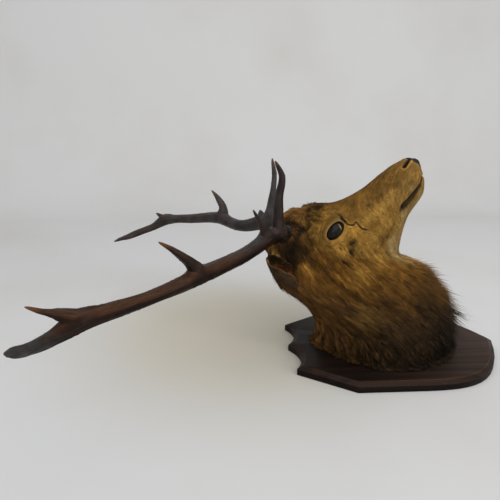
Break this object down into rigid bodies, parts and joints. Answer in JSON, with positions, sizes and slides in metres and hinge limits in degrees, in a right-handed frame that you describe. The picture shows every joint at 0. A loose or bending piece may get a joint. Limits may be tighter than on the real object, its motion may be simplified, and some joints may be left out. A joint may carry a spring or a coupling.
{
  "type": "red deer stag head mount",
  "caption": "Taxidermy head and maned neck of a red deer stag with branched antlers, fixed on a dark shield-shaped wooden board that lies on its flat back.",
  "frame": {"origin": "centre of the board's flat back, which is also its underside as it lies", "axes": "+Z out of the board's face, away from the wall in use; -X towards the board's scalloped crown, up in use; +X towards its pointed end; +Y towards the stag's left side"},
  "size_m": [0.9277, 0.5944, 0.4274],
  "materials": {
    "mahogany_board": "dark polished mahogany",
    "face_coat": "short matt tan-olive fur",
    "neck_coat": "long brown-gold fur",
    "mane_coat": "long dark brown fur",
    "nose_leather": "smooth black nose skin, satin",
    "eye_glass": "dark polished glass eye, seen as opaque",
    "ear_skin": "thin dried ear with short grey-brown fur",
    "antler_bone": "dark ridged antler, worn pale at the tips"
  },
  "bodies": {
    "root": {"antler_left_beam": "antler_bone", "antler_left_bez_tine": "antler_bone", "antler_left_brow_tine": "antler_bone", "antler_left_crown": "antler_bone", "antler_left_crown_tine": "antler_bone", "antler_left_trez_tine": "antler_bone", "antler_left_upper_beam": "antler_bone", "antler_right_beam": "antler_bone", "antler_right_bez_tine": "antler_bone", "antler_right_brow_tine": "antler_bone", "antler_right_crown": "antler_bone", "antler_right_crown_tine": "antler_bone", "antler_right_trez_tine": "antler_bone", "antler_right_upper_beam": "antler_bone", "board": "mahogany_board", "ear_left": "ear_skin", "ear_right": "ear_skin", "eye_left": "eye_glass", "eye_right": "eye_glass", "head": "face_coat", "lower_jaw": "face_coat", "mane": "mane_coat", "muzzle": "face_coat", "neck": "neck_coat", "nose_pad": "nose_leather"}
  },
  "joints": []
}
